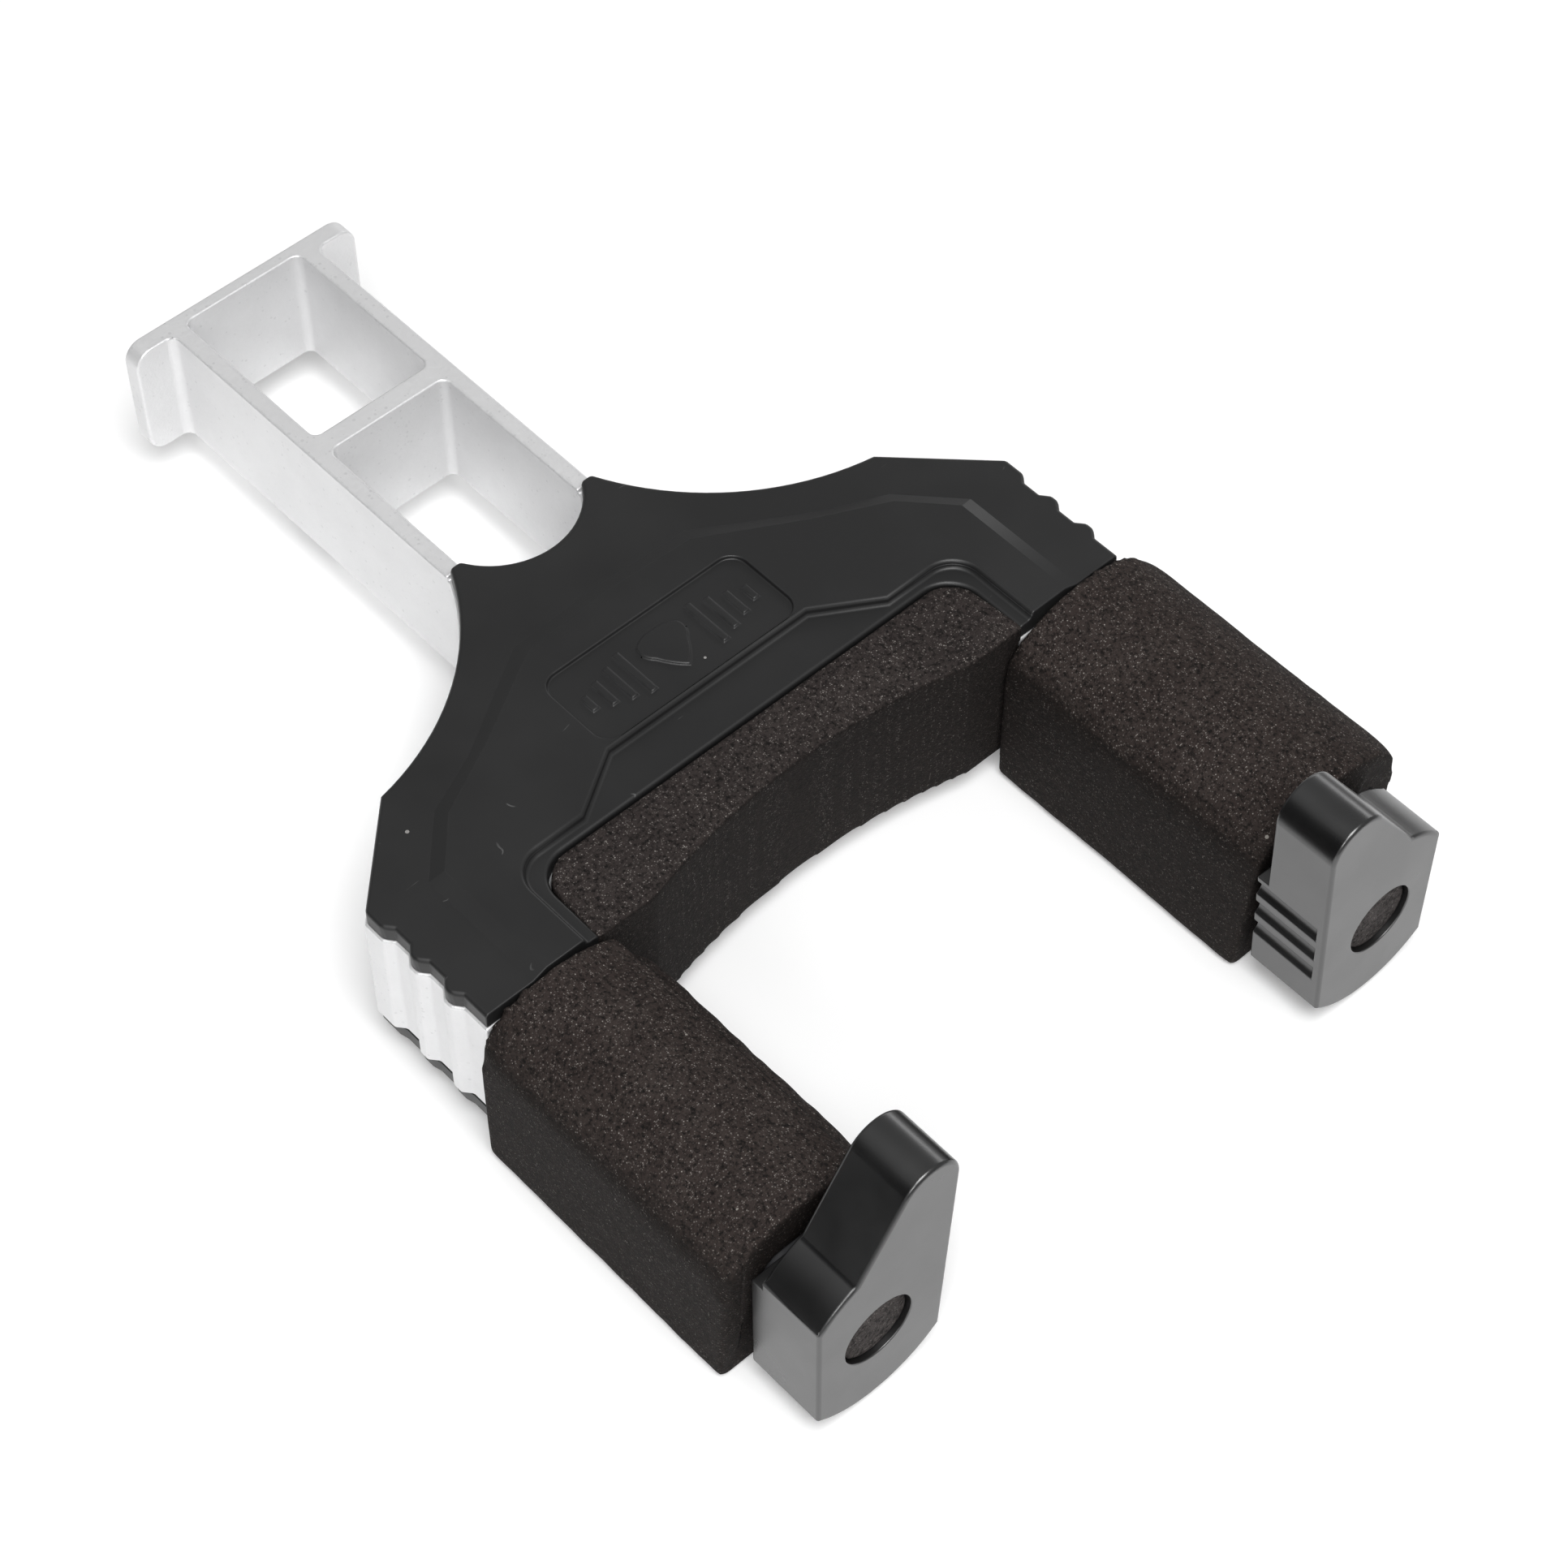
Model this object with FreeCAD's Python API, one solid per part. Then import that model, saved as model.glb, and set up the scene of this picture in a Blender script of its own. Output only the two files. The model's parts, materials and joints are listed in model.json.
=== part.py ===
import FreeCAD, Part
import math
import os

# Wall guitar hanger with self-closing gates.
# Frame: millimetres. The origin is the centre of the flange's back face, where the hanger
# meets its wall plate. +X runs from the wall towards the prong tips, +Z is up and +Y is the
# right-hand prong for someone who stands at the wall and looks out along +X.

# Arm and wall flange
arm_width = 23.0
arm_height = 17.6
arm_wall = 2.45
pocket_corner = 1.2
flange_width = 35.0
flange_thickness = 2.75
flange_corner = 2.6
flange_fillet = 1.3
rear_wall = 1.9
first_pocket_length = 26.4
web_thickness = 3.1
arm_length = 56.95
pocket_end_back = 0.6
root_end_back = 1.0

# Yoke outline, seen from above
yoke_length = 52.95
horn_width = 1.9
horn_from_pocket = 0.3
scoop_depth = 5.65
shoulder_chamfer = 11.6
shoulder_bow = 4.25
chamfer_end_from_front = 20.3
first_land = 3.2
scallop_count = 3
scallop_ramp = 1.15
scallop_floor = 2.35
scallop_land = 1.35
scallop_depth = 0.95

# Heights through the sandwich of cover, casting and cover
core_top = 8.25
core_bottom = -9.1
top_rim_thickness = 2.4
bottom_cover_thickness = 2.0
top_cover_inset = 0.25
bottom_cover_side_inset = 0.6
bottom_scallop_depth = 0.3

# Relief on the top cover
plateau_rise = 0.8
plateau_bevel = 2.0
plateau_margin = 7.4
plateau_rear_margin = 8.6
plateau_rear_skew = 0.6
plateau_rear_spread = 1.9
plateau_rear_taper = 0.4
plateau_neck_share = 0.34
plateau_neck_out = 0.3
plateau_knee_share = 0.84
plateau_knee_side_share = 0.42
plateau_shoulder_share = 0.6
plateau_side_in = 0.6
recess_depth = 0.3
recess_rear_gap = 6.9
recess_step = 5.2
recess_side_gap = 2.2
recess_centre_half = 15.4
recess_slope_width = 8.3
recess_corner = 4.0
emblem_length = 12.1
emblem_width = 30.4
emblem_corner = 2.4
emblem_depth = 0.5
emblem_relief = 0.35
emblem_gap = 0.7
emblem_root = 0.2
plectrum_back = 3.4
plectrum_length = 6.9
plectrum_heel = (0.9, 3.2)
plectrum_heel_bow = (0.15, 1.9)
plectrum_cheek = (3.6, 2.5)
plectrum_cheek_bow = (2.3, 3.3)
plectrum_side_bow = (5.6, 1.2)
bar_count = 4
bar_half_length = 3.6
bar_shortening = 0.8
bar_first_side = 5.6
bar_pitch = 2.3
bar_half_width = 0.45

# Throat pad
pad_depth = 11.6
pad_corner = 4.2
pad_bow = 3.3
pad_land = 7.6
pad_clearance = 0.1
pad_above_rim = -0.15
pad_below_core = 1.75

# Prong axes and what turns on them
neck_gap = 58.6
prong_to_side = 10.75
axis_drop = 0.8
gate_gap = 0.5
spindle_radius = 4.0
spindle_seat = 20.0
spindle_fit = 0.02
running_clearance = 0.05
nose_radius = 2.6
nose_clearance = 0.2
end_play = 0.3

# Turning core, foam sleeve and gate cap
sleeve_length = 39.4
core_wall = 2.5
core_corner = 3.0
core_flange_rim = 1.1
core_flange_thickness = 2.2
spigot_wall = 1.5
spigot_corner = 1.5
snug_clearance = 0.05
core_end_gap = 0.3
foam_flange_clearance = 0.2
foam_flange_wall = 1.0
foam_outer = 13.0
foam_crown = 13.0
foam_inner_shoulder = 7.2
foam_outer_shoulder = 8.0
foam_bottom = 13.7
foam_corner = 0.8
cap_gap = 2.0
cap_thickness = 10.5
cap_web = 2.0
cap_outer = 8.7
cap_round = 13.1
cap_inner_bottom = 9.3
cap_outer_top = 8.6
cap_notch_in = 3.2
cap_notch_up = 12.7
cap_shoulder_bulge = 0.45
finger_tip_in = 6.9
finger_tip_up = 20.1
finger_tip_radius = 4.3
finger_setback = 1.7
finger_base_up = 7.4
cap_edge_round = 0.5
grip_count = 3
grip_pitch = 4.0
grip_first_up = 5.2
grip_radius = 1.5
grip_depth = 0.75
grip_front_land = 1.3
plug_hole_radius = 4.8
plug_clearance = 0.15
plug_thickness = 1.4
plug_recess = 0.6
plug_rear_gap = 0.5

# Stop pin, thrust washer and return spring of each gate
gate_travel_deg = 40.0
stop_pin_radius = 0.9
stop_pin_wall = 0.4
stop_pin_seat = 6.0
stop_side_clearance = 0.2
stop_end_clearance = 0.15
stop_pin_tip_gap = 0.4
stop_slot_floor = 0.4
washer_inset = 0.6
washer_thickness = 0.6
washer_play = 0.3
chamber_depth = 8.0
chamber_wall = 1.5
spring_wire = 1.0
spring_turns = 5
spring_inner_gap = 0.5
spring_outer_gap = 0.2
spring_end_gap = 0.35

# Fasteners
gate_screw_radius = 1.5
gate_screw_depth = 8.0
gate_screw_head_radius = 3.8
gate_screw_head_height = 2.0
gate_screw_tip_gap = 0.5
gate_drive_slot = 0.7
drive_width = 2.0
drive_depth = 1.1
screw_washer_gap = 0.4
screw_washer_thickness = 0.5
screw_washer_play = 0.1
lock_pin_radius = 1.5
lock_pin_from_end = 5.0
lock_pin_bore = 0.7
lock_pin_slit = 0.4
cover_screw_radius = 1.5
cover_screw_head_radius = 2.8
cover_screw_head_height = 1.5
cover_screw_hole = 1.7
cover_screw_past_core = 0.4
cover_screw_pilot = 0.9
cover_drive_slot = 0.6
boss_radius = 3.1
boss_length = 5.0
boss_clearance = 0.15
boss_root = 0.5
screw_pitch_margin = 0.05
inner_screw_x = 16.8
inner_screw_from_arm = 3.5
middle_screw_back = 1.7
middle_screw_in = 12.3
outer_screw_from_spindle = 4.45
outer_screw_from_chamfer = 6.85

# Sizes and places that follow from the ones above
spring_radius = spindle_radius + spring_inner_gap + spring_wire / 2.0
chamber_radius = spring_radius + spring_wire / 2.0 + spring_outer_gap
spring_pitch = (chamber_depth - 2.0 * spring_end_gap - spring_wire) / spring_turns
stop_circle = chamber_radius + stop_pin_wall + stop_pin_radius
core_flange_radius = stop_circle + stop_pin_radius + stop_side_clearance + core_flange_rim
washer_radius = core_flange_radius - washer_inset
foam_inner = core_flange_radius + foam_flange_wall
core_square = 2.0 * (spindle_radius + core_wall)
spigot_square = 2.0 * (spindle_radius + spigot_wall)
plug_radius = plug_hole_radius - plug_clearance
screw_washer_radius = plug_hole_radius - screw_washer_gap
prong_y = neck_gap / 2.0 + foam_inner
half_yoke = prong_y + prong_to_side
pad_width = 2.0 * (prong_y - chamber_radius - chamber_wall)
front_x = arm_length + yoke_length
half_arm = arm_width / 2.0
pocket_half = half_arm - arm_wall
rim_top = core_top + top_rim_thickness
plateau_top = rim_top + plateau_rise
base_bottom = core_bottom - bottom_cover_thickness
recess_floor = rim_top - recess_depth
pad_rear_x = front_x - pad_depth
cutout_half = pad_width / 2.0 + pad_clearance
cutout_rear_x = pad_rear_x - pad_clearance
axis_z = -axis_drop
lock_pin_top = axis_z + spindle_radius
washer_front_x = front_x + washer_thickness
core_rear_x = washer_front_x + washer_play
foam_rear_x = front_x + gate_gap
foam_front_x = foam_rear_x + sleeve_length
cap_rear_x = foam_front_x + cap_gap
cap_front_x = cap_rear_x + cap_thickness
plug_front_x = cap_front_x - plug_recess
head_front_x = plug_front_x - plug_thickness - plug_rear_gap
head_rear_x = head_front_x - gate_screw_head_height
nose_end_x = head_rear_x - screw_washer_thickness
web_front_x = nose_end_x - end_play
web_rear_x = web_front_x - cap_web
spindle_rear_x = front_x - spindle_seat
chamber_rear_x = front_x - chamber_depth
shoulder_x = front_x - chamfer_end_from_front
scoop_half = pocket_half + horn_from_pocket

# How far a cutter reaches past what it cuts, and how near counts as touching or parallel
far = 60.0
beyond = 1.0
overlap = 0.1
touching = 0.01
parallel = 0.99


def vec(x, y, z=0.0):
    return FreeCAD.Vector(x, y, z)


def edge_through(points):
    """A straight edge through two points, or an arc through three."""
    if len(points) == 2:
        return Part.LineSegment(points[0], points[1]).toShape()
    return Part.Arc(points[0], points[1], points[2]).toShape()


def mirrored_outline(half_run, z):
    """A closed wire from the +Y side's run of lines and arcs and its mirror image."""
    run = [[vec(p[0], p[1], z) for p in piece] for piece in half_run]
    other = [[vec(p[0], -p[1], z) for p in reversed(piece)] for piece in reversed(half_run)]
    return Part.Wire([edge_through(piece) for piece in run + other])


def joined(corners):
    """The straight runs between neighbouring corners of an open line."""
    return [[a, b] for a, b in zip(corners[:-1], corners[1:])]


def prism(wire, height):
    return Part.Face(wire).extrude(vec(0.0, 0.0, height))


def block(x0, x1, y0, y1, z0, z1):
    return Part.makeBox(x1 - x0, y1 - y0, z1 - z0, vec(x0, y0, z0))


def bar_x(radius, x0, x1, y=0.0, z=0.0):
    return Part.makeCylinder(radius, x1 - x0, vec(x0, y, z), vec(1.0, 0.0, 0.0))


def bar_z(radius, z0, z1, x=0.0, y=0.0):
    return Part.makeCylinder(radius, z1 - z0, vec(x, y, z0), vec(0.0, 0.0, 1.0))


def rounded_block_z(x0, x1, y0, y1, z0, z1, corner):
    """A block whose four upright edges are rounded."""
    solid = block(x0, x1, y0, y1, z0, z1)
    upright = [e for e in solid.Edges if abs(e.tangentAt(e.FirstParameter).z) > parallel]
    return solid.makeFillet(corner, upright)


def rounded_block_x(x0, x1, half_y, half_z, corner, y=0.0, z=0.0):
    """A block whose four edges along X are rounded."""
    solid = block(x0, x1, y - half_y, y + half_y, z - half_z, z + half_z)
    along = [e for e in solid.Edges if abs(e.tangentAt(e.FirstParameter).x) > parallel]
    return solid.makeFillet(corner, along)


def bowed(start, end, bow):
    """A three-point arc from start to end that stands bow off the chord, to its right."""
    dx = end[0] - start[0]
    dy = end[1] - start[1]
    chord = math.hypot(dx, dy)
    middle = ((start[0] + end[0]) / 2.0 + bow * dy / chord, (start[1] + end[1]) / 2.0 - bow * dx / chord)
    return [start, middle, end]


def rounded_inner_corner(x, y, radius):
    """The quarter arc of a cut-out's rear corner, from its side to its rear edge."""
    lean = radius * (1.0 - math.sqrt(0.5))
    return [(x + radius, y), (x + lean, y - lean), (x, y - radius)]


def scoop_run():
    """The scoop between the horns, from the middle out to one horn."""
    radius = (scoop_half ** 2 + scoop_depth ** 2) / (2.0 * scoop_depth)
    centre_x = arm_length + scoop_depth - radius
    half_angle = math.asin(scoop_half / radius) / 2.0
    middle = (centre_x + radius * math.cos(half_angle), radius * math.sin(half_angle))
    return [(arm_length + scoop_depth, 0.0), middle, (arm_length, scoop_half)]


def scallop_corners(half_width, depth):
    """The grip scallops of the yoke's side, from the chamfer's end to the front corner."""
    x = shoulder_x + first_land
    low_y = half_width - depth
    corners = []
    for index in range(scallop_count):
        corners.append((x, half_width))
        corners.append((x + scallop_ramp, low_y))
        if index < scallop_count - 1:
            corners.append((x + scallop_ramp + scallop_floor, low_y))
            corners.append((x + 2.0 * scallop_ramp + scallop_floor, half_width))
        x += 2.0 * scallop_ramp + scallop_floor + scallop_land
    corners.append((front_x, low_y))
    return corners


def yoke_run(half_width=half_yoke, depth=scallop_depth):
    """The yoke's outline on the +Y side, from the scoop round to the throat."""
    horn = (arm_length, scoop_half + horn_width)
    corner = (shoulder_x - shoulder_chamfer, half_width - shoulder_chamfer)
    side = [corner, (shoulder_x, half_width)] + scallop_corners(half_width, depth)
    side.append((front_x, cutout_half))
    run = [scoop_run(), [(arm_length, scoop_half), horn], bowed(horn, corner, shoulder_bow)]
    run += joined(side + [(cutout_rear_x + pad_corner, cutout_half)])
    run += [rounded_inner_corner(cutout_rear_x, cutout_half, pad_corner)]
    run += [[(cutout_rear_x, cutout_half - pad_corner), (cutout_rear_x, 0.0)]]
    return run


def yoke_plate(z0, z1):
    return prism(mirrored_outline(yoke_run(), z0), z1 - z0)


def top_plate(z0, z1):
    """A plate of the top cover's outline, a little inside the casting's all round."""
    return prism(mirrored_outline(yoke_run(), z0).makeOffset2D(-top_cover_inset), z1 - z0)


def bottom_plate(z0, z1):
    """A plate of the bottom cover's outline, with shallower scallops than the casting's."""
    run = yoke_run(half_yoke - bottom_cover_side_inset, bottom_scallop_depth)
    return prism(mirrored_outline(run, z0), z1 - z0)


def screw_places():
    """The six cover screws, seen from above."""
    outer_x = spindle_rear_x - outer_screw_from_spindle
    outer_y = half_yoke - (shoulder_x - outer_x) - outer_screw_from_chamfer
    places = []
    for sign in (-1.0, 1.0):
        places.append((arm_length + inner_screw_x, sign * (half_arm + inner_screw_from_arm)))
        places.append((outer_x - middle_screw_back, sign * (outer_y - middle_screw_in)))
        places.append((outer_x, sign * outer_y))
    return places


def both_sides(shape):
    """A +Y shape and its mirror image, as a list."""
    return [shape, shape.mirror(vec(0.0, 0.0), vec(0.0, 1.0))]


def flange_fillet_bar():
    """The concave fillet between the flange's ear and the arm's side, on the +Y side."""
    reach = flange_fillet
    corner = block(flange_thickness, flange_thickness + reach, half_arm, half_arm + reach,
                   -arm_height / 2.0, arm_height / 2.0)
    hollow = bar_z(reach, -arm_height, arm_height, flange_thickness + reach, half_arm + reach)
    return corner.cut(hollow)


def arm_and_flange():
    half_height = arm_height / 2.0
    arm = block(0.0, arm_length, -half_arm, half_arm, -half_height, half_height)
    root_end = arm_length + scoop_depth - root_end_back
    root = block(arm_length, root_end, -half_arm, half_arm, core_bottom, core_top)
    flange = rounded_block_x(0.0, flange_thickness, flange_width / 2.0, half_height, flange_corner)
    return arm.fuse([root, flange] + both_sides(flange_fillet_bar()))


def arm_pockets():
    web_start = rear_wall + first_pocket_length
    first = rounded_block_z(rear_wall, web_start, -pocket_half, pocket_half, -far, far, pocket_corner)
    second_end = arm_length + scoop_depth - pocket_end_back
    second = rounded_block_z(web_start + web_thickness, second_end, -pocket_half, pocket_half,
                             -far, far, pocket_corner)
    scoop_outline = [scoop_run(), [(arm_length, scoop_half), (arm_length, 0.0)]]
    scoop_end = prism(mirrored_outline(scoop_outline, -far), 2.0 * far)
    behind_scoop = block(0.0, arm_length + overlap, -far, far, -far, far)
    return [first, second.common(behind_scoop.fuse(scoop_end))]


def stop_pin_place():
    """Where the +Y gate's stop pin stands, half the travel above the prong's outer side."""
    angle = math.radians(gate_travel_deg / 2.0)
    return prong_y + stop_circle * math.cos(angle), axis_z + stop_circle * math.sin(angle)


def prong_cuts():
    """The spindle bore, spring chamber and pin holes of the +Y prong boss."""
    pin_y, pin_z = stop_pin_place()
    lock_x = spindle_rear_x + lock_pin_from_end
    return [
        bar_x(spindle_radius + spindle_fit, spindle_rear_x, front_x + beyond, prong_y, axis_z),
        bar_x(chamber_radius, chamber_rear_x, front_x + beyond, prong_y, axis_z),
        bar_x(stop_pin_radius + spindle_fit, front_x - stop_pin_seat, front_x + beyond, pin_y, pin_z),
        bar_z(lock_pin_radius + spindle_fit, core_bottom - beyond, lock_pin_top, lock_x, prong_y),
    ]


def yoke_casting():
    core = yoke_plate(core_bottom, core_top)
    casting = core.fuse(arm_and_flange()).cut(arm_pockets())
    cuts = []
    for cut in prong_cuts():
        cuts += both_sides(cut)
    for x, y in screw_places():
        cuts.append(bar_z(cover_screw_hole, core_bottom - beyond, core_top + beyond, x, y))
        cuts.append(bar_z(boss_radius + boss_clearance, core_top - boss_length - boss_clearance,
                          core_top + beyond, x, y))
    return casting.cut(cuts).removeSplitter()


def plateau_run(inset):
    """The plateau's outline on the +Y side: straight facets that follow the yoke's edge."""
    margin = plateau_margin + inset
    rear_x = arm_length + scoop_depth + plateau_rear_margin + inset
    slope = math.sqrt(2.0) - 1.0
    corner_x = shoulder_x - shoulder_chamfer
    corner_y = half_yoke - shoulder_chamfer
    side_y = half_yoke - margin - plateau_side_in
    corners = [
        (rear_x, 0.0),
        (rear_x + plateau_rear_skew, half_arm + plateau_rear_spread - inset * plateau_rear_taper),
        (corner_x + margin * plateau_neck_share, corner_y - shoulder_chamfer + plateau_neck_out - inset),
        (corner_x + margin * plateau_knee_share, corner_y - margin * plateau_knee_side_share),
        (shoulder_x + margin * slope * plateau_shoulder_share, side_y),
        (front_x, side_y),
        (front_x, 0.0),
    ]
    return joined(corners)


def plateau():
    """The raised middle of the top cover, with its soft sloping edge."""
    low = mirrored_outline(plateau_run(0.0), rim_top)
    high = mirrored_outline(plateau_run(plateau_bevel), plateau_top)
    return Part.makeLoft([low, high], True, True)


def recess_run():
    """The step round the throat pad on the +Y side, from its rear edge to the front."""
    deep_x = cutout_rear_x - recess_rear_gap
    near_x = deep_x + recess_step
    side_y = cutout_half + recess_side_gap
    corner = rounded_inner_corner(near_x, side_y, recess_corner)
    corner.reverse()
    start = [(deep_x, 0.0), (deep_x, recess_centre_half),
             (near_x, recess_centre_half + recess_slope_width), (near_x, side_y - recess_corner)]
    end = [(near_x + recess_corner, side_y), (front_x + beyond, side_y), (front_x + beyond, 0.0)]
    return joined(start) + [corner] + joined(end)


def emblem_box():
    """X range of the emblem's recess."""
    x1 = cutout_rear_x - recess_rear_gap - emblem_gap
    return x1 - emblem_length, x1


def plectrum(centre_x, z0, z1):
    """A plain guitar plectrum, pointing towards the prongs."""
    half_run = [[(0.0, 0.0), plectrum_heel_bow, plectrum_heel],
                [plectrum_heel, plectrum_cheek_bow, plectrum_cheek],
                [plectrum_cheek, plectrum_side_bow, (plectrum_length, 0.0)]]
    solid = prism(mirrored_outline(half_run, z0), z1 - z0)
    solid.translate(vec(centre_x - plectrum_back, 0.0))
    return solid


def emblem_relief_shapes(z0, z1):
    """A plectrum between bars that shorten outwards, like a fading note."""
    x0, x1 = emblem_box()
    middle = (x0 + x1) / 2.0
    shapes = [plectrum(middle, z0, z1)]
    for index in range(bar_count):
        half_length = bar_half_length - bar_shortening * index
        bar_y = bar_first_side + bar_pitch * index
        bar = block(middle - half_length, middle + half_length, bar_y - bar_half_width,
                    bar_y + bar_half_width, z0, z1)
        shapes += both_sides(bar)
    return shapes


def top_cover():
    plate = top_plate(core_top, rim_top)
    outline = top_plate(core_top, plateau_top + beyond)
    cover = plate.fuse(plateau().common(outline))
    cover = cover.cut(prism(mirrored_outline(recess_run(), recess_floor), far))
    x0, x1 = emblem_box()
    floor = plateau_top - emblem_depth
    half = emblem_width / 2.0
    cover = cover.cut(rounded_block_z(x0, x1, -half, half, floor, far, emblem_corner))
    cover = cover.fuse(emblem_relief_shapes(floor - emblem_root, floor + emblem_relief))
    boss_bottom = core_top - boss_length
    boss_top = core_top + boss_root
    cover = cover.fuse([bar_z(boss_radius, boss_bottom, boss_top, x, y) for x, y in screw_places()])
    pilot_radius = cover_screw_radius + screw_pitch_margin
    pilot_top = core_top + cover_screw_pilot
    holes = [bar_z(pilot_radius, boss_bottom - beyond, pilot_top, x, y) for x, y in screw_places()]
    return cover.cut(holes).removeSplitter()


def bottom_cover():
    cover = bottom_plate(base_bottom, core_bottom)
    cuts = []
    for x, y in screw_places():
        cuts.append(bar_z(cover_screw_hole, base_bottom - beyond, core_bottom + beyond, x, y))
        cuts.append(Part.makeCone(cover_screw_head_radius + screw_pitch_margin, cover_screw_hole,
                                  cover_screw_head_height, vec(x, y, base_bottom), vec(0.0, 0.0, 1.0)))
    return cover.cut(cuts)


def cover_screw(x, y):
    """A countersunk screw, driven from below, with a cross recess."""
    head = Part.makeCone(cover_screw_head_radius, cover_screw_radius, cover_screw_head_height,
                         vec(x, y, base_bottom), vec(0.0, 0.0, 1.0))
    shank_top = core_top + cover_screw_past_core
    shank = bar_z(cover_screw_radius, base_bottom + cover_screw_head_height, shank_top, x, y)
    long = drive_width / 2.0
    short = cover_drive_slot / 2.0
    deep = base_bottom + drive_depth
    slots = [block(x - long, x + long, y - short, y + short, base_bottom - beyond, deep),
             block(x - short, x + short, y - long, y + long, base_bottom - beyond, deep)]
    return head.fuse(shank).cut(slots)


def cover_screws():
    return Part.makeCompound([cover_screw(x, y) for x, y in screw_places()])


def throat_pad():
    half = pad_width / 2.0
    arc_y = half - pad_land
    radius = (arc_y ** 2 + pad_bow ** 2) / (2.0 * pad_bow)
    half_angle = math.asin(arc_y / radius) / 2.0
    centre_x = front_x - pad_bow + radius
    middle = (centre_x - radius * math.cos(half_angle), radius * math.sin(half_angle))
    corner = rounded_inner_corner(pad_rear_x, half, pad_corner)
    corner.reverse()
    run = [[(pad_rear_x, 0.0), (pad_rear_x, half - pad_corner)], corner]
    run += joined([(pad_rear_x + pad_corner, half), (front_x, half), (front_x, arc_y)])
    run += [[(front_x, arc_y), middle, (front_x - pad_bow, 0.0)]]
    bottom = core_bottom - pad_below_core
    return prism(mirrored_outline(run, bottom), rim_top + pad_above_rim - bottom)


def prong_section(pieces, x):
    """A closed wire across the +Y prong; its points are outward and upward of the axis."""
    placed = [[vec(x, prong_y + p[0], axis_z + p[1]) for p in piece] for piece in pieces]
    return Part.Wire([edge_through(piece) for piece in placed])


def section_prism(pieces, x0, x1):
    return Part.Face(prong_section(pieces, x0)).extrude(vec(x1 - x0, 0.0, 0.0))


def foam_pieces():
    """The sleeve's section: a crowned top on straight sides and a flat bottom."""
    inner = (-foam_inner, foam_inner_shoulder)
    outer = (foam_outer, foam_outer_shoulder)
    crown = ((foam_outer - foam_inner) / 2.0, foam_crown)
    c = foam_corner
    return [[inner, crown, outer]] + joined([
        outer, (foam_outer, -foam_bottom + c), (foam_outer - c, -foam_bottom),
        (-foam_inner + c, -foam_bottom), (-foam_inner, -foam_bottom + c), inner])


def core_square_bar(x0, x1, extra=0.0):
    half = core_square / 2.0 + extra
    return rounded_block_x(x0, x1, half, half, core_corner + extra, prong_y, axis_z)


def foam_sleeve():
    foam = section_prism(foam_pieces(), foam_rear_x, foam_front_x)
    clear = core_flange_radius + foam_flange_clearance
    seat_end = core_rear_x + core_flange_thickness + snug_clearance
    return foam.cut([core_square_bar(foam_rear_x - beyond, foam_front_x + beyond, snug_clearance),
                     bar_x(clear, foam_rear_x - beyond, seat_end, prong_y, axis_z)])


def stop_slot():
    """The slot in the core's flange that the stop pin runs in."""
    reach = stop_pin_radius + stop_side_clearance
    inner = stop_circle - reach
    outer = stop_circle + reach
    pin_angle = math.asin((stop_pin_radius + stop_end_clearance) / stop_circle)
    end = math.radians(gate_travel_deg / 2.0) + pin_angle

    def at(radius, angle):
        return radius * math.cos(angle), radius * math.sin(angle)

    pieces = [
        [at(inner, -end), at(inner, 0.0), at(inner, end)],
        [at(inner, end), at(outer, end)],
        [at(outer, end), at(outer, 0.0), at(outer, -end)],
        [at(outer, -end), at(inner, -end)],
    ]
    return section_prism(pieces, core_rear_x - beyond, core_rear_x + core_flange_thickness + beyond)


def sleeve_core():
    flange_end = core_rear_x + core_flange_thickness
    flange = bar_x(core_flange_radius, core_rear_x, flange_end, prong_y, axis_z)
    square_end = cap_rear_x - core_end_gap
    half_spigot = spigot_square / 2.0
    spigot = rounded_block_x(square_end, web_rear_x - snug_clearance, half_spigot, half_spigot,
                             spigot_corner, prong_y, axis_z)
    bore = bar_x(spindle_radius + running_clearance, core_rear_x - beyond, cap_front_x, prong_y, axis_z)
    slot = stop_slot().common(bar_x(core_flange_radius + beyond, core_rear_x - beyond,
                                    flange_end - stop_slot_floor, prong_y, axis_z))
    return flange.fuse([core_square_bar(flange_end, square_end), spigot]).cut([bore, slot])


def spindle():
    shaft = bar_x(spindle_radius, spindle_rear_x, web_rear_x, prong_y, axis_z)
    nose = bar_x(nose_radius, web_rear_x, nose_end_x, prong_y, axis_z)
    thread = bar_x(gate_screw_radius, nose_end_x - gate_screw_depth, nose_end_x + beyond, prong_y, axis_z)
    lock_x = spindle_rear_x + lock_pin_from_end
    cross = bar_z(lock_pin_radius + spindle_fit, axis_z - far, axis_z + far, lock_x, prong_y)
    return shaft.fuse(nose).cut([thread, cross])


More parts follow.
